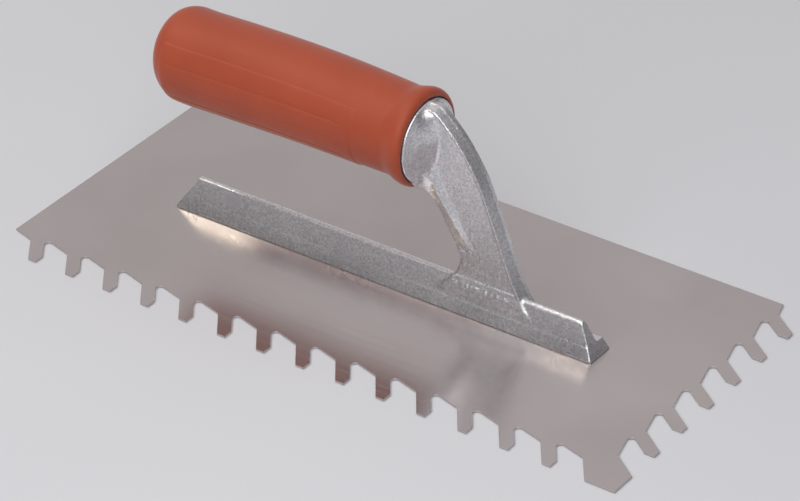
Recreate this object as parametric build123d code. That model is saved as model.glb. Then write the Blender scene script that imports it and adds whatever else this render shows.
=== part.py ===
from build123d import *
import math
import os

# Notched trowel, in millimetres. X runs along the blade towards its toothed end, Y across it
# towards the plain back edge, and Z up. The origin is the middle of the blade's underside.

# Blade: a flat sheet with notches along its front edge and its right-hand end
BLADE_LENGTH = 280.0
BLADE_WIDTH = 133.0
BLADE_THICKNESS = 0.8
FRONT_TEETH = 14
SIDE_TEETH = 6
FRONT_BLOCK = 12.48     # tip of the solid block at the corner, along the front edge ...
SIDE_BLOCK = 11.17      # ... and along the right-hand end
NOTCH_PITCH = 17.89
NOTCH_LEAN = 35.75      # degrees that the notches lean away from the corner block
NEAR_DEPTH = 10.88      # depth of a notch at its side nearer the corner block
FAR_DEPTH = 14.69       # depth at its other side
TOOTH_TIP = 3.55        # flat end of a tooth
TIP_DEPTH = 4.18        # a tooth's far side starts square, this deep, before it leans
ROOT_RADIUS = 1.7

# Spine bar of the casting, on the blade's middle line
BAR_BASE_START = -99.8
BAR_BASE_END = 90.5
BAR_TOP_START = -91.0
BAR_TOP_END = 83.6
BAR_HEIGHT = 13.6
BAR_NEAR_BASE = -6.3    # the near side slopes from here ...
BAR_NEAR_TOP = -2.0     # ... to here
BAR_FAR_TOP = 0.9
BAR_STEP = 1.6          # the far side drops steeply to a ledge that starts here
BAR_LEDGE_HEIGHT = 4.9
BAR_LEDGE_EDGE = 5.3
BAR_FAR_BASE = 6.5
BAR_TOP_RADIUS = 1.2

# Gooseneck post
WEB_THICKNESS = 5.0
RIM_WIDTH = 7.0
RIM_DEPTH = 2.6
POST_OUTER = [(18.2, 82.6), (25.4, 77.9), (30.6, 72.5), (36.0, 65.1), (41.0, 56.2), (47.2, 40.3), (53.0, 24.8), (60.0, 12.4)]
POST_INNER = [(17.0, 51.0), (19.0, 46.5), (23.9, 38.5), (29.6, 28.8), (30.3, 21.5), (24.0, 10.5)]
POST_HEAD = [(15.0, 51.8), (15.0, 83.0)]    # where the web meets the end plate
POST_FOOT = 6.0         # the web goes down to this height inside the bar

# End plate, its flared neck and the tang, all on one axis along X
PLATE_AXIS_HEIGHT = 66.4
PLATE_FACE = 15.4
PLATE_THICKNESS = 1.8
PLATE_RADIUS = 16.3
FLARE_END = 22.0
FLARE_END_RADIUS = 2.4
FLARE_MIDDLE = (17.9, 7.6)      # place and radius half way along the flare
TANG_END = -78.0
TANG_ROOT_SIZE = (12.0, 10.0)
TANG_END_SIZE = (8.0, 7.0)
TANG_CORNER = 1.6

# Rivets through the blade into the bar
RIVET_COUNT = 8
RIVET_SPACING = 23.6
RIVET_FIRST = -86.6
RIVET_HEAD_RADIUS = 3.0
RIVET_SHANK_RADIUS = 1.75
RIVET_LENGTH = 5.2

# Hard core of the grip
CORE_END = -97.0
CORE_RADIUS = 13.6
CORE_END_ROUNDING = 5.0
COLLAR_START = 8.5
COLLAR_RADIUS = 16.75
COLLAR_CONE = 2.0

# Soft sleeve: round sections on a gently arched axis, a domed rear and a rolled lip
SLEEVE_END = -102.8
SLEEVE_END_ROUNDING = 10.2
DOME_OVERLAP = 0.01             # the dome runs this far into the body, to join it
SLEEVE_NECK = 4.5
SLEEVE_SECTIONS = 8
ARCH_TOP = -43.0
ARCH_HEIGHT = 68.3
ARCH_CURVE = 0.00031            # drop of the axis per square millimetre from the arch's top
GIRTH_TOP = -70.0
GIRTH_RADIUS = 18.3
GIRTH_CURVE = 0.00019
LIP_FACE = 14.6
LIP_RADIUS = 18.9
LIP_CREST = 11.8
MOUTH_RADIUS = 17.0

BIG = 100.0                     # wider than anything here, for cutting shapes
STANDING = (Align.CENTER, Align.CENTER, Align.MIN)


def notch(mouth):
    """One notch as (along the edge, inward, corner radius), from its mouth's nearer corner."""
    lean = math.tan(math.radians(NOTCH_LEAN))
    tooth = mouth + NOTCH_PITCH - TOOTH_TIP
    return [
        (mouth, 0.0, 0.0),
        (mouth + NEAR_DEPTH * lean, NEAR_DEPTH, 0.0),
        (tooth + (FAR_DEPTH - TIP_DEPTH) * lean, FAR_DEPTH, ROOT_RADIUS),
        (tooth, TIP_DEPTH, 0.0),
        (tooth, 0.0, 0.0),
    ]


def toothed_edge(block, teeth, length):
    """Corners of an edge from its corner block to the plain edge that cuts its last notch."""
    corners = []
    for number in range(teeth):
        corners += notch(block + number * NOTCH_PITCH)
    mouth, shoulder, root = notch(block + teeth * NOTCH_PITCH)[:3]
    slope = (root[1] - shoulder[1]) / (root[0] - shoulder[0])
    end = (length, shoulder[1] + slope * (length - shoulder[0]), 0.0)
    return corners + [mouth, shoulder, end]


def make_blade(rivets):
    """The notched sheet with its countersunk rivet holes."""
    right = BLADE_LENGTH / 2
    front = -BLADE_WIDTH / 2
    corners = [(right, front, 0.0)]
    for along, inward, radius in toothed_edge(FRONT_BLOCK, FRONT_TEETH, BLADE_LENGTH):
        corners.append((right - along, front + inward, radius))
    corners.append((-right, -front, 0.0))
    for along, inward, radius in reversed(toothed_edge(SIDE_BLOCK, SIDE_TEETH, BLADE_WIDTH)):
        corners.append((right - inward, front + along, radius))
    points = [(x, y) for x, y, radius in corners]
    radii = [radius for x, y, radius in corners]
    outline = FilletPolyline(*points, radius=radii, close=True)
    return extrude(make_face(outline), BLADE_THICKNESS) - rivets


def make_rivets():
    """A row of flush rivets along the bar."""
    rivets = []
    for number in range(RIVET_COUNT):
        x = RIVET_FIRST + number * RIVET_SPACING
        head = Cone(RIVET_HEAD_RADIUS, RIVET_SHANK_RADIUS, BLADE_THICKNESS, align=STANDING)
        shank = Cylinder(RIVET_SHANK_RADIUS, RIVET_LENGTH, align=STANDING)
        rivets.append(Pos(x, 0, 0) * (head + shank))
    return rivets


def make_bar():
    """Spine bar: one long section, with both ends sloped."""
    base = BLADE_THICKNESS
    top = base + BAR_HEIGHT
    ledge = base + BAR_LEDGE_HEIGHT
    section = FilletPolyline(
        (BAR_NEAR_BASE, base),
        (BAR_NEAR_TOP, top),
        (BAR_FAR_TOP, top),
        (BAR_STEP, ledge),
        (BAR_LEDGE_EDGE, ledge),
        (BAR_FAR_BASE, base),
        radius=[0.0, BAR_TOP_RADIUS, BAR_TOP_RADIUS, 0.0, 0.0, 0.0],
        close=True,
    )
    side = Polyline(
        (BAR_BASE_START, base),
        (BAR_BASE_END, base),
        (BAR_TOP_END, top),
        (BAR_TOP_START, top),
        close=True,
    )
    long_bar = extrude(Plane.YZ * make_face(section), amount=2 * BIG, both=True)
    slab = extrude(Plane.XZ * make_face(side), amount=BIG, both=True)
    return long_bar & slab


def make_post():
    """Web between the post's two curved edges, with a rim along the outer one."""
    outer = Spline(*POST_OUTER)
    inner = Spline(*POST_INNER)
    foot = [(POST_OUTER[-1][0], POST_FOOT), (POST_INNER[-1][0], POST_FOOT)]
    head = Polyline(POST_INNER[0], *POST_HEAD, POST_OUTER[0])
    bottom = Polyline(POST_OUTER[-1], *foot, POST_INNER[-1])
    web_face = make_face([head, outer, bottom, inner])
    web = extrude(Plane.XZ * web_face, amount=WEB_THICKNESS / 2, both=True)

    steps = 2 * len(POST_OUTER)
    along = [number / steps for number in range(steps + 1)]
    inward = [outer @ t - (outer % t).rotate(Axis.Z, 90) * RIM_DEPTH for t in along]
    rim_line = Spline(*inward)
    rim_face = make_face([outer, rim_line, Line(outer @ 0, rim_line @ 0), Line(outer @ 1, rim_line @ 1)])
    rim = extrude(Plane.XZ * rim_face, amount=RIM_WIDTH / 2, both=True)
    return web + rim


def make_end_plate():
    """Round end plate and the concave flare from its face to the web."""
    profile = [
        Polyline(
            (FLARE_END, 0),
            (PLATE_FACE - PLATE_THICKNESS, 0),
            (PLATE_FACE - PLATE_THICKNESS, PLATE_RADIUS),
            (PLATE_FACE, PLATE_RADIUS),
        ),
        ThreePointArc((PLATE_FACE, PLATE_RADIUS), FLARE_MIDDLE, (FLARE_END, FLARE_END_RADIUS)),
        Line((FLARE_END, FLARE_END_RADIUS), (FLARE_END, 0)),
    ]
    turned = revolve(Plane.XZ * make_face(profile), Axis.X)
    return Pos(0, 0, PLATE_AXIS_HEIGHT) * turned


def make_tang():
    """Tapered bar inside the grip."""
    sections = []
    for x, size in ((PLATE_FACE - PLATE_THICKNESS, TANG_ROOT_SIZE), (TANG_END, TANG_END_SIZE)):
        plane = Plane(origin=(x, 0, PLATE_AXIS_HEIGHT), x_dir=(0, 0, 1), z_dir=(-1, 0, 0))
        sections.append(plane * RectangleRounded(*size, TANG_CORNER))
    return loft(sections)


def make_core(tang):
    """Hard sleeve on the tang, with a collar behind the end plate."""
    face = PLATE_FACE - PLATE_THICKNESS
    profile = FilletPolyline(
        (CORE_END, 0),
        (CORE_END, CORE_RADIUS),
        (COLLAR_START, CORE_RADIUS),
        (COLLAR_START + COLLAR_CONE, COLLAR_RADIUS),
        (face, COLLAR_RADIUS),
        (face, 0),
        radius=[0.0, CORE_END_ROUNDING, 0.0, 0.0, 0.0, 0.0],
        close=True,
    )
    turned = revolve(Plane.XZ * make_face(profile), Axis.X)
    return Pos(0, 0, PLATE_AXIS_HEIGHT) * turned - tang


def axis_height(x):
    """Height of the sleeve's arched axis."""
    return ARCH_HEIGHT - ARCH_CURVE * (x - ARCH_TOP) ** 2


def girth(x):
    """Radius of the sleeve between its rear rounding and its neck."""
    return GIRTH_RADIUS - GIRTH_CURVE * (x - GIRTH_TOP) ** 2


def make_sleeve(core):
    """Soft sleeve over the core: domed rear, arched body and rolled lip, open at the mouth."""
    shoulder = SLEEVE_END + SLEEVE_END_ROUNDING
    sections = []
    for number in range(SLEEVE_SECTIONS):
        x = shoulder + (SLEEVE_NECK - shoulder) * number / (SLEEVE_SECTIONS - 1)
        plane = Plane(origin=(x, 0, axis_height(x)), z_dir=(1, 0, 0))
        sections.append(plane * Circle(girth(x)))
    body = loft(sections)

    dome_profile = FilletPolyline(
        (shoulder, 0),
        (SLEEVE_END, 0),
        (SLEEVE_END, girth(shoulder)),
        (shoulder + DOME_OVERLAP, girth(shoulder)),
        (shoulder + DOME_OVERLAP, 0),
        radius=[0.0, 0.0, SLEEVE_END_ROUNDING, 0.0, 0.0],
        close=True,
    )
    dome = Pos(0, 0, axis_height(shoulder)) * revolve(Plane.XZ * make_face(dome_profile), Axis.X)

    lip_curve = Spline(
        (SLEEVE_NECK, girth(SLEEVE_NECK)),
        (LIP_CREST, LIP_RADIUS),
        (LIP_FACE, (LIP_RADIUS + MOUTH_RADIUS) / 2),
        (LIP_FACE - 1, MOUTH_RADIUS),
        tangents=((1, -0.02), (-1, -0.4)),
    )
    lip_back = Polyline(lip_curve @ 1, (LIP_FACE - 1, 0), (SLEEVE_NECK, 0), lip_curve @ 0)
    lip_face = Plane.XZ * make_face([lip_curve, lip_back])
    lip = Pos(0, 0, axis_height(SLEEVE_NECK)) * revolve(lip_face, Axis.X)

    mouth_start = PLATE_FACE - PLATE_THICKNESS
    mouth = Pos(mouth_start, 0, PLATE_AXIS_HEIGHT) * Rot(0, 90, 0) * Cylinder(MOUTH_RADIUS, BIG, align=STANDING)
    return dome + body + lip - mouth - core


def write(node, shape):
    """One STEP file for one node."""
    export_step(shape, f"parts/{node}.step")


os.makedirs("parts", exist_ok=True)
rivet_list = make_rivets()
tang_solid = make_tang()
core_solid = make_core(tang_solid)
write("blade", make_blade(rivet_list))
write("blade_rivets", Compound(children=rivet_list))
write("mounting", make_bar() + make_post() + make_end_plate() + tang_solid - rivet_list)
write("handle_core", core_solid)
write("grip_sleeve", make_sleeve(core_solid + tang_solid))
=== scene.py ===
import math

import bmesh
import bpy
import numpy as np
from mathutils import Matrix


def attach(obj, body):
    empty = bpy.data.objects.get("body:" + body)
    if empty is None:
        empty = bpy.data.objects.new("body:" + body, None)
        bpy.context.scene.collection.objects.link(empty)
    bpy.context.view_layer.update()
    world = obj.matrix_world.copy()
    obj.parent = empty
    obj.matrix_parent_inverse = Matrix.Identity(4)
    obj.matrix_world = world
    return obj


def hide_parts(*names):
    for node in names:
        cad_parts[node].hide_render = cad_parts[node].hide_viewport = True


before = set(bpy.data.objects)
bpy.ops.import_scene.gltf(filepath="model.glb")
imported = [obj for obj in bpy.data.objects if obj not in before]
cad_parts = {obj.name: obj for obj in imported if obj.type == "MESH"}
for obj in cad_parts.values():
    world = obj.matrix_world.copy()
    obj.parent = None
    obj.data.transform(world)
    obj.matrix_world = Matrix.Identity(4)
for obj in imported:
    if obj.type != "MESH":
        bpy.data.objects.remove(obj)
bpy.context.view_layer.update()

# Lengths here are in millimetres in the frame of the CAD model, and MM turns them into metres.
MM = 0.001

# Blade outline, as in the CAD model
BLADE_LENGTH = 280.0
BLADE_WIDTH = 133.0
BLADE_THICKNESS = 0.8
FRONT_TEETH = 14
SIDE_TEETH = 6
FRONT_BLOCK = 12.48
SIDE_BLOCK = 11.17
NOTCH_PITCH = 17.89
NOTCH_LEAN = math.tan(math.radians(35.75))
NEAR_DEPTH = 10.88
FAR_DEPTH = 14.69
TOOTH_TIP = 3.55
TIP_DEPTH = 4.18
ROOT_RADIUS = 1.7
ARC_STEPS = 8
EDGE_WEAR = 0.09                # rounding of the sheet's cut edges

# Rivets under the bar
RIVET_COUNT = 8
RIVET_SPACING = 23.6
RIVET_FIRST = -86.6
RIVET_HEAD_RADIUS = 3.0
RIVET_SHANK_RADIUS = 1.75
RIVET_LENGTH = 5.2
RIVET_SEAM = 0.05

# Casting
CAST_STEP = 0.45                # spacing of the grid that its surface is drawn from
CAST_LOW = (-101.4, -17.7, 0.2)
CAST_HIGH = (92.2, 17.7, 84.4)
FILLET = 0.6                    # where the post meets the bar

# Spine bar
BAR_START = (-99.8, -91.0)      # its sloped ends, at the base and at the top
BAR_END = (90.5, 83.6)
BAR_BASE = 0.8
BAR_TOP = 14.4
BAR_LEDGE = 5.7
BAR_NEAR = (6.3, 0.40, 0.0078)  # near side: half width at the base, its slope, and how that slope eases
BAR_NEAR_LEAN = 1.05
BAR_FAR = [(0.1, BAR_TOP), (1.4, BAR_LEDGE)]
BAR_STEP = [(5.3, BAR_LEDGE), (6.5, BAR_BASE)]
CROWN = 0.55                    # rounding of the bar's top left of the post
CROWN_GAIN = 0.85               # and how much rounder it is on the right
CROWN_CHANGE = (50.0, 56.0)
BAR_EDGE = 0.5
BAR_CORNER = 0.4

# Round end plate and its flare
PLATE_HEIGHT = 66.4
PLATE_FACE = 15.4
PLATE_BACK = 13.6
PLATE_RADIUS = 16.2
PLATE_EDGE = 0.3
FLARE_DEPTH = 6.7
FLARE_DROP = 0.17               # the flare gets shallower below this height above the blade
FLARE_FULL = 70.0
FLARE_BEND = 1.7
FLARE_LEAN = 1.25
WEB_REACH = 13.0                # half height of the web where the flare meets it
PLATE_BLEND = 0.4               # rounding between plate and post
PLATE_BLEND_GAIN = 3.6          # and how much larger it is low down, where the throat starts
PLATE_BLEND_CHANGE = (50.0, 60.0)
PLATE_LOW = 30.0                # nothing but the tang stands behind the plate above this height

# Gooseneck post
POST_OUTER = [
    (14.6, 82.6), (20.4, 82.0), (25.4, 77.9), (30.6, 72.5), (36.0, 65.1),
    (41.0, 56.2), (47.2, 40.3), (53.0, 24.8), (58.3, 14.2), (64.5, 7.5),
]
POST_INNER = [
    (15.0, 49.8), (18.0, 43.8), (21.6, 38.0), (24.8, 31.8), (28.4, 26.0),
    (29.9, 22.4), (28.3, 16.8), (24.6, 11.4), (18.0, 7.2),
]
POST_HEAD = 14.5                # the post starts here, inside the plate
POST_FOOT = 4.0                 # and ends at this height, inside the bar
POST_EDGE = 0.4
POST_LEAN = 1.1
WEB_HALF = 2.5
RIM_HALF = 3.5
RIM_SLOPE = (1.0, 2.1)          # the rim falls to the web between these distances from the outer edge
ROOF_NEAR = 0.24                # the outer edge slopes away from a raised line, this steeply on the near side
ROOF_FAR = 0.14
ROOF_LINE = 1.0
ROOF_RIDGE = 0.25
ROOF_RIDGE_WIDTH = 0.4
ROOF_SPAN = (0.0, 4.0)
THROAT_EDGE = 1.4               # half thickness of the throat's inner edge
THROAT_CREST = 5.6              # distance of the throat's ridge from the post's inner edge
THROAT_SIDE = 2.6               # the ridge falls to the web over this distance
THROAT_RISE = 0.1               # the ridge stands this much above the web at its lower end
THROAT_GAIN = 1.5               # and this much more at its upper end
THROAT_SPAN = (26.2, 46.0)
THROAT_END = (25.6, 27.4)
HOLLOW_EDGE = 1.7               # below the throat the inner edge is bevelled from this half thickness
HOLLOW_SLOPE = 0.9
HORN_HALF = 4.6                 # the throat widens like a horn under the plate
HORN_FROM = 14.8
HORN_REACH = 2.3
HORN_RISE = (38.0, 46.0)
HORN_FALL = (52.0, 60.0)

# The post's foot, which stands proud of the bar's near side
FOOT_SINK = 0.7                 # its lower part lies this far inside the bar
FOOT_RISE = 1.5
FOOT_HEIGHTS = (5.5, 11.0)
FOOT_START = (15.0, 25.0)
SEAM_HEIGHT = 12.6              # rough seam along the foot
SEAM_WIDTH = 0.5
SEAM_RISE = 0.35
SEAM_START = (24.0, 28.0)
SEAM_END = (50.0, 54.0)

# Tang inside the grip
TANG_END = -78.0
TANG_LENGTH = 92.0              # over which it tapers
TANG_WIDTH = (5.0, 1.5)         # half width at the plate, and how much of it the taper takes
TANG_HEIGHT = (6.0, 2.0)
TANG_EDGE = 1.5

# Grip
SLEEVE_END = -102.8
SLEEVE_ROUNDING = 10.2
SLEEVE_NECK = 4.5
GRIP_AXIS = [(-104.0, 68.7), (-91.0, 67.2), (-70.0, 67.75), (-40.0, 68.33), (-15.0, 68.05), (14.7, 67.05)]
GIRTH_TOP = -70.0
GIRTH_RADIUS = 18.3
GIRTH_CURVE = 0.00019
LIP_CREST = 12.0
LIP_RADIUS = 18.85
LIP_FACE = 14.6
MOUTH_RADIUS = 17.1
MOUTH_DEPTH = 9.5
SEGMENTS = 384
PANEL_START = math.radians(51.3)        # the raised, ribbed underside starts this far from the top
PANEL_EDGE = 0.011
PANEL_FROM = -94.5
PANEL_TO = -8.6
PANEL_RISE = 0.34
GROOVE_DEPTH = 0.3
GROOVE_WIDTH = 0.5
RIB_COUNT = 11
SKIN_RADIUS = 15.5              # the relief is on the sleeve's outside only

# Camera
CAMERA_AT = (0.792548, -1.084919, 0.882286)
CAMERA_AZIMUTH = 36.096
CAMERA_ELEVATION = 32.887
CAMERA_ROLL = -0.975
CAMERA_LENS = 194.3

# Floor, in metres
FLOOR_HALF = 6.0
FLOOR_GAP = 0.0001              # it lies this far under the blade

# Studio glows: direction, cosine where the glow starts, cosine where it is full, brightness
GLOWS = [
    ((0.0, 0.0, 1.0), -2.0, -1.9, 0.14),
    ((0.0, 0.0, 1.0), 0.1, 1.0, 0.26),
    ((-0.49, 0.68, 0.54), 0.55, 0.95, 0.34),
]


# ---------------------------------------------------------------- meshes

def add_object(name, mesh, material, node, smooth=True):
    """Makes a piece that stands for a CAD node and rides on the tool's one body."""
    piece = bpy.data.objects.new(name, mesh)
    bpy.context.scene.collection.objects.link(piece)
    mesh.polygons.foreach_set("use_smooth", [smooth] * len(mesh.polygons))
    mesh.materials.append(material)
    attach(piece, "root")
    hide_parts(node)
    return piece


def fillet(before, corner, after, radius):
    """Points of an arc of that radius in the corner of an outline."""
    corner = np.array(corner)
    to_before = np.array(before) - corner
    to_after = np.array(after) - corner
    to_before /= np.linalg.norm(to_before)
    to_after /= np.linalg.norm(to_after)
    half = math.acos(np.dot(to_before, to_after)) / 2
    middle = to_before + to_after
    centre = corner + middle / np.linalg.norm(middle) * radius / math.sin(half)
    start = corner + to_before * radius / math.tan(half) - centre
    end = corner + to_after * radius / math.tan(half) - centre
    turn = math.pi - 2 * half
    points = []
    for number in range(ARC_STEPS + 1):
        share = number / ARC_STEPS
        blend = (start * math.sin((1 - share) * turn) + end * math.sin(share * turn)) / math.sin(turn)
        points.append(tuple(centre + blend))
    return points


def notch(mouth):
    """Corners of one notch as (along the edge, inward), from its mouth's nearer corner."""
    tooth = mouth + NOTCH_PITCH - TOOTH_TIP
    return [
        (mouth, 0.0),
        (mouth + NEAR_DEPTH * NOTCH_LEAN, NEAR_DEPTH),
        (tooth + (FAR_DEPTH - TIP_DEPTH) * NOTCH_LEAN, FAR_DEPTH),
        (tooth, TIP_DEPTH),
        (tooth, 0.0),
    ]


def toothed_edge(block, teeth, length):
    """Points of an edge from the corner block to the plain edge that cuts its last notch."""
    points = []
    for number in range(teeth):
        mouth, shoulder, root, bend, tip = notch(block + number * NOTCH_PITCH)
        points += [mouth, shoulder, *fillet(shoulder, root, bend, ROOT_RADIUS), bend, tip]
    mouth, shoulder, root = notch(block + teeth * NOTCH_PITCH)[:3]
    slope = (root[1] - shoulder[1]) / (root[0] - shoulder[0])
    return points + [mouth, shoulder, (length, shoulder[1] + slope * (length - shoulder[0]))]


def blade_outline():
    """The notched sheet's outline."""
    right = BLADE_LENGTH / 2
    front = -BLADE_WIDTH / 2
    points = [(right, front)]
    points += [(right - s, front + d) for s, d in toothed_edge(FRONT_BLOCK, FRONT_TEETH, BLADE_LENGTH)]
    points.append((-right, -front))
    points += [(right - d, front + s) for s, d in reversed(toothed_edge(SIDE_BLOCK, SIDE_TEETH, BLADE_WIDTH))]
    return points


def rivet_places():
    """Places of the rivets along the bar."""
    return [RIVET_FIRST + number * RIVET_SPACING for number in range(RIVET_COUNT)]


def circle(x, radius, steps=48):
    """Points of a circle on the bar's line."""
    angles = [2 * math.pi * number / steps for number in range(steps)]
    return [(x + radius * math.cos(a), radius * math.sin(a)) for a in angles]


def make_blade(material):
    """Notched sheet with rivet holes and slightly worn cut edges, filled from a flat curve."""
    curve = bpy.data.curves.new("blade_outline", "CURVE")
    curve.dimensions = "2D"
    curve.fill_mode = "BOTH"
    wear = EDGE_WEAR * MM
    curve.bevel_depth = wear
    curve.bevel_resolution = 2
    curve.offset = -wear
    curve.extrude = BLADE_THICKNESS * MM / 2 - wear
    for outline in [blade_outline()] + [circle(x, RIVET_HEAD_RADIUS + RIVET_SEAM) for x in rivet_places()]:
        spline = curve.splines.new("POLY")
        spline.points.add(len(outline) - 1)
        for point, (x, y) in zip(spline.points, outline):
            point.co = (x * MM, y * MM, 0, 1)
        spline.use_cyclic_u = True
    holder = bpy.data.objects.new("blade_outline", curve)
    mesh = bpy.data.meshes.new_from_object(holder)
    bpy.data.objects.remove(holder)
    mesh.transform(Matrix.Translation((0, 0, BLADE_THICKNESS * MM / 2)))
    work = bmesh.new()
    work.from_mesh(mesh)
    bmesh.ops.remove_doubles(work, verts=work.verts, dist=0.002 * MM)
    work.to_mesh(mesh)
    work.free()
    return add_object("blade_sheet", mesh, material, "blade", smooth=False)


def lathe(profile, centres, segments, shape=None):
    """Closed mesh of a profile of (place along X, radius) turned about X, each ring on its own centre."""
    places = np.array([p[0] for p in profile])
    radii = np.array([p[1] for p in profile])
    centres = np.asarray(centres, float)
    angles = np.linspace(0, 2 * math.pi, segments, endpoint=False)
    ring = np.repeat(radii[:, None], segments, axis=1)
    if shape is not None:
        ring = ring + shape(places[:, None], angles[None, :], radii[:, None])
    x = np.repeat(places[:, None], segments, axis=1)
    y = -ring * np.sin(angles)
    z = centres[:, None] + ring * np.cos(angles)
    vertices = np.stack([x, y, z], axis=-1).reshape(-1, 3)
    vertices = np.vstack([vertices, (places[0], 0.0, centres[0]), (places[-1], 0.0, centres[-1])]) * MM
    rings = len(profile)
    faces = []
    for row in range(rings - 1):
        for column in range(segments):
            beside = (column + 1) % segments
            a = row * segments
            faces.append((a + column, a + beside, a + segments + beside, a + segments + column))
    tip = rings * segments
    end = tip - segments
    for column in range(segments):
        beside = (column + 1) % segments
        faces.append((tip, beside, column))
        faces.append((tip + 1, end + column, end + beside))
    mesh = bpy.data.meshes.new("lathe")
    mesh.from_pydata(vertices.tolist(), [], faces)
    work = bmesh.new()
    work.from_mesh(mesh)
    bmesh.ops.recalc_face_normals(work, faces=work.faces)
    work.to_mesh(mesh)
    work.free()
    return mesh


def arc(centre, radius, start, end, steps):
    """Points of an arc, angles in degrees from +X towards +radius."""
    angles = [math.radians(start + (end - start) * n / steps) for n in range(steps + 1)]
    return [(centre[0] + radius * math.cos(a), centre[1] + radius * math.sin(a)) for a in angles]


def smooth_step(value, low, high):
    """0 below low, 1 above high, and smooth between them."""
    share = np.clip((value - low) / (high - low), 0.0, 1.0)
    return share * share * (3 - 2 * share)


def arch(x):
    """Height of the grip's arched axis."""
    line = smooth_curve(GRIP_AXIS)
    return np.interp(x, line[:, 0], line[:, 1])


def girth(x):
    """Radius of the grip between its rear rounding and its neck."""
    return GIRTH_RADIUS - GIRTH_CURVE * (x - GIRTH_TOP) ** 2


def grip_relief(x, angle, radius):
    """Raised panel round the grip's underside, divided by shallow grooves along its length."""
    from_top = np.minimum(angle, 2 * math.pi - angle)
    ends = smooth_step(x, PANEL_FROM - 1.0, PANEL_FROM) * (1 - smooth_step(x, PANEL_TO, PANEL_TO + 1.0))
    outside = (radius > SKIN_RADIUS) * ends
    panel = smooth_step(from_top, PANEL_START - PANEL_EDGE, PANEL_START + PANEL_EDGE)
    rib_width = 2 * (math.pi - PANEL_START) / RIB_COUNT
    within = ((from_top - PANEL_START) / rib_width) % 1.0
    off_line = np.minimum(within, 1 - within) * rib_width * radius
    fading = smooth_step(x, PANEL_FROM, PANEL_FROM + 6) * (1 - smooth_step(x, PANEL_TO - 6, PANEL_TO))
    groove = np.exp(-((off_line / GROOVE_WIDTH) ** 2)) * (from_top > PANEL_START + 0.5 * rib_width) * fading
    return outside * (PANEL_RISE * panel - GROOVE_DEPTH * groove)


def make_grip(material):
    """Soft sleeve: domed rear, arched body, rolled lip and the wall inside its mouth."""
    shoulder = SLEEVE_END + SLEEVE_ROUNDING
    rear = float(girth(shoulder)) - SLEEVE_ROUNDING
    profile = [(SLEEVE_END, rear * share) for share in (0.25, 0.5, 0.75)]
    profile += arc((shoulder, rear), SLEEVE_ROUNDING, 180, 90, 24)
    places = np.concatenate([
        np.linspace(shoulder, PANEL_FROM + 6, 24)[1:],
        np.linspace(PANEL_FROM + 6, PANEL_TO - 1, 40)[1:],
        np.linspace(PANEL_TO - 1, PANEL_TO + 2, 10)[1:],
        np.linspace(PANEL_TO + 2, SLEEVE_NECK, 8)[1:-1],
    ])
    profile += [(x, float(girth(x))) for x in places]
    neck = float(girth(SLEEVE_NECK))
    swell = [smooth_step(share, 0.0, 1.0) for share in np.linspace(0, 1, 14)]
    along = np.linspace(SLEEVE_NECK, LIP_CREST, 14)
    profile += [(x, neck + (LIP_RADIUS - neck) * float(share)) for x, share in zip(along, swell)]
    centres = [float(arch(x)) for x, radius in profile]

    reach = LIP_FACE - LIP_CREST
    fall = LIP_RADIUS - MOUTH_RADIUS
    steps = 12
    for number in range(1, steps + 1):
        turn = math.radians(100 * number / steps)
        profile.append((LIP_CREST + reach * math.sin(turn), MOUTH_RADIUS + fall * math.cos(turn)))
        settle = float(smooth_step(number / steps, 0.0, 1.0))
        centres.append(float(arch(LIP_CREST)) * (1 - settle) + PLATE_HEIGHT * settle)
    for inner in ((13.4, MOUTH_RADIUS - 0.2), (MOUTH_DEPTH, MOUTH_RADIUS - 0.2), (MOUTH_DEPTH, 8.0)):
        profile.append(inner)
        centres.append(PLATE_HEIGHT)
    mesh = lathe(profile, centres, SEGMENTS, grip_relief)
    return add_object("rubber_grip", mesh, material, "grip_sleeve")


def make_core(material):
    """Hard core inside the sleeve, with the collar that shows as a dark line round the plate; the collar's
    near-black colour paints the shade of that gap.
    """
    profile = [(-96.8, 4.0), (-96.8, 9.0), (-95.0, 12.0), (-92.0, 13.3), (-90.0, 13.4), (8.0, 13.4)]
    profile += [(9.8, 16.2), (10.2, 16.85), (13.9, 16.85), (14.1, 16.7), (14.1, 9.0)]
    mesh = lathe(profile, [PLATE_HEIGHT] * len(profile), 96)
    return add_object("grip_core", mesh, material, "handle_core", smooth=False)


def make_rivets(material):
    """Eight countersunk rivets, ground flush with the sheet."""
    profile = [
        (0.03, RIVET_HEAD_RADIUS - 0.04),
        (0.08, RIVET_HEAD_RADIUS),
        (0.16, RIVET_HEAD_RADIUS),
        (BLADE_THICKNESS, RIVET_SHANK_RADIUS),
        (RIVET_LENGTH, RIVET_SHANK_RADIUS),
    ]
    steps = 48
    vertices = []
    faces = []
    for x in rivet_places():
        start = len(vertices)
        for height, radius in profile:
            vertices += [(px * MM, py * MM, height * MM) for px, py in circle(x, radius, steps)]
        for row in range(len(profile) - 1):
            for column in range(steps):
                beside = (column + 1) % steps
                a = start + row * steps
                faces.append((a + column, a + beside, a + steps + beside, a + steps + column))
        faces.append(tuple(reversed(range(start, start + steps))))
        faces.append(tuple(range(len(vertices) - steps, len(vertices))))
    mesh = bpy.data.meshes.new("rivets")
    mesh.from_pydata(vertices, [], faces)
    return add_object("flush_rivets", mesh, material, "blade_rivets", smooth=False)


# ---------------------------------------------------------------- casting

def smooth_curve(points, steps=12):
    """Smooth line through the points."""
    points = np.array(points)
    ends = [2 * points[0] - points[1], 2 * points[-1] - points[-2]]
    around = np.vstack([ends[0], points, ends[1]])
    line = []
    for before, start, end, after in zip(around, around[1:], around[2:], around[3:]):
        for number in range(steps):
            t = number / steps
            line.append(
                0.5 * (2 * start + (end - before) * t + (2 * before - 5 * start + 4 * end - after) * t * t
                       + (3 * start - before - 3 * end + after) * t ** 3)
            )
    return np.array(line + [points[-1]])


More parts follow.
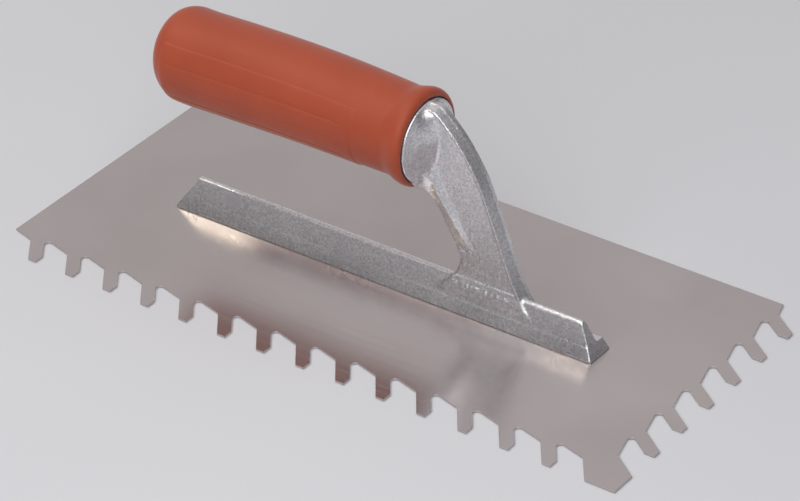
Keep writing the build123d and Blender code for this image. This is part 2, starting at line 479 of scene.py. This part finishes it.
def line_distance(line, u, v):
    """Distance in the plane to an open line of points."""
    nearest = np.full(u.shape, np.inf)
    for start, end in zip(line, line[1:]):
        along = end - start
        share = np.clip(((u - start[0]) * along[0] + (v - start[1]) * along[1]) / along.dot(along), 0, 1)
        distance = np.hypot(u - start[0] - share * along[0], v - start[1] - share * along[1])
        nearest = np.minimum(nearest, distance)
    return nearest


def outline_field(outline, u, v):
    """Signed distance in the plane to a closed outline, negative inside it."""
    closed = np.vstack([outline, outline[:1]])
    inside = np.zeros(u.shape, bool)
    for start, end in zip(closed, closed[1:]):
        spans = (start[1] > v) != (end[1] > v)
        rise = end[1] - start[1] if end[1] != start[1] else 1.0
        inside ^= spans & (u < (end[0] - start[0]) * (v - start[1]) / rise + start[0])
    return np.where(inside, -1.0, 1.0) * line_distance(closed, u, v)


def side_of(start, end, u, v):
    """Signed distance to the line from start to end, positive on its left."""
    length = math.hypot(end[0] - start[0], end[1] - start[1])
    return ((v - start[1]) * (end[0] - start[0]) - (u - start[0]) * (end[1] - start[1])) / length


def round_max(a, b, radius):
    """Overlap of two fields, with a rounded edge."""
    outer = np.hypot(np.maximum(a + radius, 0), np.maximum(b + radius, 0))
    return np.minimum(np.maximum(a, b), -radius) + outer


def round_min(a, b, radius):
    """Union of two fields, with a fillet between them."""
    return -round_max(-a, -b, radius)


def bar_near(z):
    """How far the bar's near side stands from the middle plane."""
    height = z - BAR_BASE
    return BAR_NEAR[0] - BAR_NEAR[1] * height + BAR_NEAR[2] * height ** 2


def bar_field(x, y, z):
    """Spine bar: sloping near side, narrow top, a ledge on the far side and sloped ends."""
    crown = CROWN + CROWN_GAIN * smooth_step(x, *CROWN_CHANGE)
    near = (-y - bar_near(z)) / BAR_NEAR_LEAN
    far = side_of(*BAR_FAR, y, z)
    ridge = round_max(round_max(near, z - BAR_TOP, crown), far, crown)
    ledge = round_max(z - BAR_LEDGE, side_of(*BAR_STEP, y, z), BAR_EDGE)
    section = round_min(ridge, round_max(ledge, near, 0.3), BAR_EDGE)
    start = side_of((BAR_START[0], BAR_BASE), (BAR_START[1], BAR_TOP), x, z)
    end = side_of((BAR_END[1], BAR_TOP), (BAR_END[0], BAR_BASE), x, z)
    return round_max(round_max(section, start, BAR_CORNER), end, BAR_CORNER)


def web_half(x, z, from_inner, from_outer):
    """Half thickness of the post: rim, web, ridged throat and the horn under the plate."""
    rim = (RIM_HALF - WEB_HALF) * (1 - smooth_step(from_outer, *RIM_SLOPE))
    crest = WEB_HALF + THROAT_RISE + THROAT_GAIN * smooth_step(z, *THROAT_SPAN)
    rising = THROAT_EDGE + (crest - THROAT_EDGE) * from_inner / THROAT_CREST
    falling = crest - (crest - WEB_HALF) * (from_inner - THROAT_CREST) / THROAT_SIDE
    ridge = np.minimum(rising, np.maximum(falling, WEB_HALF))
    hollow = np.minimum(HOLLOW_EDGE + HOLLOW_SLOPE * from_inner, WEB_HALF)
    above = smooth_step(z, *THROAT_END)
    horn = HORN_HALF * np.exp(-(x - HORN_FROM) / HORN_REACH)
    horn = horn * smooth_step(z, *HORN_RISE) * (1 - smooth_step(z, *HORN_FALL))
    return hollow * (1 - above) + ridge * above + rim + horn


def foot_half(x, z):
    """How far the post's foot stands from the middle plane on the near side, with its rough seam."""
    waves = 0.22 * np.sin(x * 2.1 + 1.3 * np.sin(x * 0.9)) * np.sin(x * 0.77)
    seam = np.exp(-(((z - SEAM_HEIGHT) / SEAM_WIDTH) ** 2)) * (SEAM_RISE + 1.3 * waves)
    seam = seam * smooth_step(x, *SEAM_START) * (1 - smooth_step(x, *SEAM_END))
    rise = FOOT_RISE * smooth_step(z, *FOOT_HEIGHTS) * smooth_step(x, *FOOT_START)
    return bar_near(z) - FOOT_SINK + rise + seam


def post_field(x, y, z):
    """Gooseneck: a web with a rim on its outer edge and a ridged throat on its inner one."""
    flat_x, flat_z = np.broadcast_arrays(x[:, 0, :], z[:, 0, :])
    outer = smooth_curve(POST_OUTER)
    inner = smooth_curve(POST_INNER)
    foot = np.array([(POST_OUTER[-1][0], POST_FOOT), (POST_INNER[-1][0], POST_FOOT)])
    head = np.array([(POST_HEAD, POST_INNER[0][1]), (POST_HEAD, POST_OUTER[0][1])])
    edge = outline_field(np.vstack([outer, foot, inner[::-1], head]), flat_x, flat_z)
    from_outer = line_distance(outer, flat_x, flat_z)
    from_inner = line_distance(inner, flat_x, flat_z)

    half = web_half(flat_x, flat_z, from_inner, from_outer)
    near_half = np.where(flat_z < BAR_TOP + 1, np.maximum(half, foot_half(flat_x, flat_z)), half)
    near_side = -y - near_half[:, None, :]
    far_side = y - half[:, None, :]
    sides = np.where(y < 0, near_side, far_side) / POST_LEAN
    roof = np.where(y < ROOF_LINE, ROOF_NEAR * (ROOF_LINE - y), ROOF_FAR * (y - ROOF_LINE))
    roof = roof - ROOF_RIDGE * np.exp(-(((y - ROOF_LINE) / ROOF_RIDGE_WIDTH) ** 2))
    facing_out = smooth_step(from_inner - from_outer, *ROOF_SPAN)[:, None, :]
    return round_max(edge[:, None, :] + roof * facing_out, sides, POST_EDGE)


def plate_field(x, y, z):
    """Round end plate with a concave flare that narrows to the web."""
    height = z - PLATE_HEIGHT
    radius = np.hypot(y, height)
    to_web = np.hypot(np.maximum(np.abs(y) - WEB_HALF, 0), np.maximum(np.abs(height) - WEB_REACH, 0))
    to_edge = np.maximum(PLATE_RADIUS - radius, 0)
    share = to_edge / (to_edge + to_web + 1e-6)
    depth = FLARE_DEPTH - FLARE_DROP * np.maximum(FLARE_FULL - z, 0)
    front = (x - PLATE_FACE - depth * share ** FLARE_BEND) / FLARE_LEAN
    disc = round_max(radius - PLATE_RADIUS, front, PLATE_EDGE)
    return np.maximum(disc, PLATE_BACK - x)


def tang_field(x, y, z):
    """Tapered bar inside the grip."""
    taper = (PLATE_BACK - x) / TANG_LENGTH
    width = TANG_WIDTH[0] - TANG_WIDTH[1] * taper
    height = TANG_HEIGHT[0] - TANG_HEIGHT[1] * taper
    section = round_max(np.abs(y) - width, np.abs(z - PLATE_HEIGHT) - height, TANG_EDGE)
    return np.maximum(np.maximum(section, x - POST_HEAD), TANG_END - x)


def surface_net(field, low, step):
    """Quads of a field's zero surface: one vertex in each cell that the surface crosses."""
    cells = tuple(n - 1 for n in field.shape)
    total = np.zeros(cells + (3,), np.float32)
    count = np.zeros(cells, np.float32)
    crossings = []
    for axis in range(3):
        start = np.take(field, range(cells[axis]), axis)
        end = np.take(field, range(1, cells[axis] + 1), axis)
        cross = (start < 0) != (end < 0)
        where = np.argwhere(cross)
        share = start[cross] / (start[cross] - end[cross])
        point = where.astype(np.float32)
        point[:, axis] += share
        crossings.append((axis, where, (start < 0)[cross]))
        others = [other for other in range(3) if other != axis]
        for shift_a in (0, 1):
            for shift_b in (0, 1):
                cell = where.copy()
                cell[:, others[0]] -= shift_a
                cell[:, others[1]] -= shift_b
                good = np.all((cell >= 0) & (cell < cells), axis=1)
                index = tuple(cell[good].T)
                np.add.at(total, index, point[good])
                np.add.at(count, index, 1)
    used = count > 0
    number = np.full(cells, -1)
    number[used] = np.arange(used.sum())
    vertices = total[used] / count[used][:, None] * step + np.array(low)
    quads = []
    for axis, where, leaving in crossings:
        others = [other for other in range(3) if other != axis]
        corners = []
        for shift_a, shift_b in ((0, 0), (1, 0), (1, 1), (0, 1)):
            cell = where.copy()
            cell[:, others[0]] -= shift_a
            cell[:, others[1]] -= shift_b
            corners.append(number[tuple(cell.T)])
        quad = np.stack(corners, axis=1)
        turned = leaving if axis != 1 else ~leaving
        quad[~turned] = quad[~turned][:, ::-1]
        quads.append(quad)
    return vertices, np.vstack(quads)


def make_casting(material):
    """Bar, post, end plate and tang as one casting."""
    axes = [np.arange(low, high, CAST_STEP) for low, high in zip(CAST_LOW, CAST_HIGH)]
    x = axes[0][:, None, None]
    y = axes[1][None, :, None]
    z = axes[2][None, None, :]
    blend = PLATE_BLEND + PLATE_BLEND_GAIN * (1 - smooth_step(z, *PLATE_BLEND_CHANGE))
    neck = round_min(post_field(x, y, z), plate_field(x, y, z), blend)
    field = round_min(bar_field(x, y, z), neck, FILLET)
    field = np.maximum(field, BAR_BASE - z)
    field = np.maximum(field, np.minimum(PLATE_BACK - x, z - PLATE_LOW))
    field = np.minimum(field, tang_field(x, y, z))
    vertices, quads = surface_net(field, CAST_LOW, CAST_STEP)
    mesh = bpy.data.meshes.new("casting")
    mesh.from_pydata((vertices * MM).tolist(), [], quads.tolist())
    return add_object("cast_mounting", mesh, material, "mounting")


# ---------------------------------------------------------------- materials

def new_material(name):
    """A node material, and its shader."""
    material = bpy.data.materials.new(name)
    material.use_nodes = True
    return material, material.node_tree.nodes["Principled BSDF"]


def add_node(tree, kind, **settings):
    """A node with its properties set."""
    node = tree.nodes.new(kind)
    for name, value in settings.items():
        setattr(node, name, value)
    return node


def add_noise(tree, scale, stretch=(1, 1, 1), detail=3.0, roughness=0.5):
    """Noise over the object's own coordinates, in cycles per metre."""
    place = add_node(tree, "ShaderNodeTexCoord")
    mapping = add_node(tree, "ShaderNodeMapping")
    mapping.inputs["Scale"].default_value = stretch
    noise = add_node(tree, "ShaderNodeTexNoise")
    noise.inputs["Scale"].default_value = scale
    noise.inputs["Detail"].default_value = detail
    noise.inputs["Roughness"].default_value = roughness
    tree.links.new(place.outputs["Object"], mapping.inputs["Vector"])
    tree.links.new(mapping.outputs["Vector"], noise.inputs["Vector"])
    return noise.outputs["Fac"]


def add_ramp(tree, value, stops):
    """Colour or grey ramp of a value."""
    ramp = add_node(tree, "ShaderNodeValToRGB")
    while len(ramp.color_ramp.elements) < len(stops):
        ramp.color_ramp.elements.new(0.5)
    for element, (position, colour) in zip(ramp.color_ramp.elements, stops):
        element.position = position
        element.color = (*colour, 1.0) if isinstance(colour, tuple) else (colour, colour, colour, 1.0)
    tree.links.new(value, ramp.inputs["Fac"])
    return ramp.outputs["Color"]


def add_bump(tree, height, distance, strength=1.0, under=None):
    """Bump of that height in metres, over another bump."""
    bump = add_node(tree, "ShaderNodeBump")
    bump.inputs["Strength"].default_value = strength
    bump.inputs["Distance"].default_value = distance
    tree.links.new(height, bump.inputs["Height"])
    if under is not None:
        tree.links.new(under, bump.inputs["Normal"])
    return bump.outputs["Normal"]


def steel_material():
    """Satin stainless sheet, ground along its length."""
    material, shader = new_material("satin_steel")
    tree = material.node_tree
    shader.inputs["Metallic"].default_value = 0.86
    clouds = add_noise(tree, 14.0, detail=4.0)
    tint = add_ramp(tree, clouds, [(0.3, (0.50, 0.447, 0.445)), (0.7, (0.56, 0.512, 0.507))])
    tree.links.new(tint, shader.inputs["Base Color"])
    streaks = add_noise(tree, 900.0, stretch=(0.02, 1.0, 1.0), detail=3.0)
    rough = add_ramp(tree, streaks, [(0.3, 0.18), (0.7, 0.25)])
    tree.links.new(rough, shader.inputs["Roughness"])
    normal = add_bump(tree, streaks, 0.000002)
    tree.links.new(normal, shader.inputs["Normal"])
    return material


def rivet_material():
    """Rivet heads ground flush: a touch brighter than the sheet."""
    material, shader = new_material("ground_rivet")
    tree = material.node_tree
    shader.inputs["Metallic"].default_value = 1.0
    streaks = add_noise(tree, 1400.0, stretch=(0.03, 1.0, 1.0))
    tint = add_ramp(tree, streaks, [(0.3, (0.50, 0.49, 0.48)), (0.7, (0.62, 0.61, 0.60))])
    tree.links.new(tint, shader.inputs["Base Color"])
    rough = add_ramp(tree, streaks, [(0.3, 0.22), (0.7, 0.38)])
    tree.links.new(rough, shader.inputs["Roughness"])
    tree.links.new(add_bump(tree, streaks, 0.00001), shader.inputs["Normal"])
    return material


def cast_material():
    """Tumbled aluminium casting: bright, with a finely pitted skin."""
    material, shader = new_material("tumbled_aluminium")
    tree = material.node_tree
    shader.inputs["Metallic"].default_value = 0.93
    clouds = add_noise(tree, 60.0, detail=5.0)
    grain = add_noise(tree, 1100.0, detail=4.0, roughness=0.6)
    greys = [(0.36, (0.58, 0.57, 0.588)), (0.52, (0.74, 0.725, 0.748)), (0.7, (0.90, 0.89, 0.91))]
    tint = add_ramp(tree, grain, greys)
    tree.links.new(tint, shader.inputs["Base Color"])
    rough = add_ramp(tree, clouds, [(0.3, 0.24), (0.7, 0.36)])
    tree.links.new(rough, shader.inputs["Roughness"])
    waves = add_noise(tree, 160.0, detail=3.0)
    normal = add_bump(tree, waves, 0.00010)
    tree.links.new(add_bump(tree, grain, 0.00016, under=normal), shader.inputs["Normal"])
    return material


def rubber_material():
    """Orange elastomer with a smooth, faintly mottled skin."""
    material, shader = new_material("orange_rubber")
    tree = material.node_tree
    clouds = add_noise(tree, 45.0, detail=4.0)
    tint = add_ramp(tree, clouds, [(0.3, (0.37, 0.056, 0.020)), (0.7, (0.41, 0.066, 0.024))])
    tree.links.new(tint, shader.inputs["Base Color"])
    shader.inputs["Specular IOR Level"].default_value = 0.42
    shader.inputs["Sheen Weight"].default_value = 0.25
    shader.inputs["Sheen Roughness"].default_value = 0.4
    grain = add_noise(tree, 2200.0, detail=2.0)
    rough = add_ramp(tree, grain, [(0.3, 0.5), (0.7, 0.6)])
    tree.links.new(rough, shader.inputs["Roughness"])
    tree.links.new(add_bump(tree, grain, 0.00001), shader.inputs["Normal"])
    return material


def black_core_and_gap_shade_material():
    """Black moulded plastic, made nearly black so that the core's collar also paints the shade in the gap
    round the plate.
    """
    material, shader = new_material("black_core_painted_gap_shade")
    tree = material.node_tree
    grain = add_noise(tree, 1500.0)
    # Near-black tint: the core's own black plus painted shade for the gap between the grip's lip and the
    # plate.
    tint = add_ramp(tree, grain, [(0.3, (0.008, 0.008, 0.010)), (0.7, (0.016, 0.015, 0.018))])
    tree.links.new(tint, shader.inputs["Base Color"])
    shader.inputs["Roughness"].default_value = 0.5
    tree.links.new(add_bump(tree, grain, 0.00001), shader.inputs["Normal"])
    return material


def floor_material():
    """Pale paper sweep."""
    material, shader = new_material("pale_paper")
    tree = material.node_tree
    clouds = add_noise(tree, 3.0, detail=2.0)
    tint = add_ramp(tree, clouds, [(0.3, (0.64, 0.645, 0.685)), (0.7, (0.67, 0.675, 0.71))])
    tree.links.new(tint, shader.inputs["Base Color"])
    shader.inputs["Roughness"].default_value = 0.9
    return material


# ---------------------------------------------------------------- stage

def make_floor():
    """Large pale floor just under the blade."""
    mesh = bpy.data.meshes.new("floor")
    half = FLOOR_HALF
    height = -FLOOR_GAP
    corners = [(-half, -half, height), (half, -half, height), (half, half, height), (-half, half, height)]
    mesh.from_pydata(corners, [], [(0, 1, 2, 3)])
    mesh.materials.append(floor_material())
    floor = bpy.data.objects.new("floor", mesh)
    bpy.context.scene.collection.objects.link(floor)


def make_world():
    """Soft studio surroundings: dark towards the camera, with broad glows above and behind."""
    world = bpy.data.worlds.new("studio")
    bpy.context.scene.world = world
    world.use_nodes = True
    tree = world.node_tree
    place = add_node(tree, "ShaderNodeTexCoord")
    background = tree.nodes["Background"]
    background.inputs["Color"].default_value = (1.0, 0.985, 0.99, 1.0)
    total = None
    for direction, start, full, strength in GLOWS:
        toward = add_node(tree, "ShaderNodeVectorMath", operation="DOT_PRODUCT")
        toward.inputs[1].default_value = np.array(direction) / np.linalg.norm(direction)
        glow = add_node(tree, "ShaderNodeMapRange", interpolation_type="SMOOTHSTEP")
        glow.inputs["From Min"].default_value = start
        glow.inputs["From Max"].default_value = full
        glow.inputs["To Max"].default_value = strength
        tree.links.new(place.outputs["Generated"], toward.inputs[0])
        tree.links.new(toward.outputs["Value"], glow.inputs["Value"])
        if total is None:
            total = glow.outputs["Result"]
        else:
            both = add_node(tree, "ShaderNodeMath", operation="ADD")
            tree.links.new(total, both.inputs[0])
            tree.links.new(glow.outputs["Result"], both.inputs[1])
            total = both.outputs["Value"]
    tree.links.new(total, background.inputs["Strength"])


def make_light(name, toward, distance, size, power, colour):
    """A soft box that faces the tool from the given direction."""
    data = bpy.data.lights.new(name, "AREA")
    data.shape = "RECTANGLE"
    data.size, data.size_y = size
    data.energy = power
    data.color = colour
    light = bpy.data.objects.new(name, data)
    bpy.context.scene.collection.objects.link(light)
    direction = np.array(toward) / np.linalg.norm(toward)
    light.location = direction * distance
    light.rotation_euler = light.location.to_track_quat("Z", "Y").to_euler()


def make_camera():
    """Camera at the tool's right-hand front, looking down on it through a long lens."""
    data = bpy.data.cameras.new("camera")
    data.sensor_width = 36.0
    data.lens = CAMERA_LENS
    data.clip_end = 50.0
    camera = bpy.data.objects.new("camera", data)
    bpy.context.scene.collection.objects.link(camera)
    turn = Matrix.Rotation(math.radians(CAMERA_AZIMUTH), 4, "Z")
    tilt = Matrix.Rotation(math.radians(90 - CAMERA_ELEVATION), 4, "X")
    roll = Matrix.Rotation(math.radians(CAMERA_ROLL), 4, "Z")
    camera.matrix_world = Matrix.Translation(CAMERA_AT) @ turn @ tilt @ roll
    bpy.context.scene.camera = camera


make_camera()
make_floor()
make_world()
make_light("key", (-0.58, -0.11, 0.81), 1.6, (0.26, 0.26), 3.3, (1.0, 0.91, 0.70))
make_light("front", (0.17, -0.61, 0.77), 1.4, (1.5, 1.5), 15.0, (0.98, 0.99, 1.0))
bpy.context.scene.view_settings.view_transform = "Standard"

make_blade(steel_material())
make_rivets(rivet_material())
make_casting(cast_material())
make_core(black_core_and_gap_shade_material())
make_grip(rubber_material())
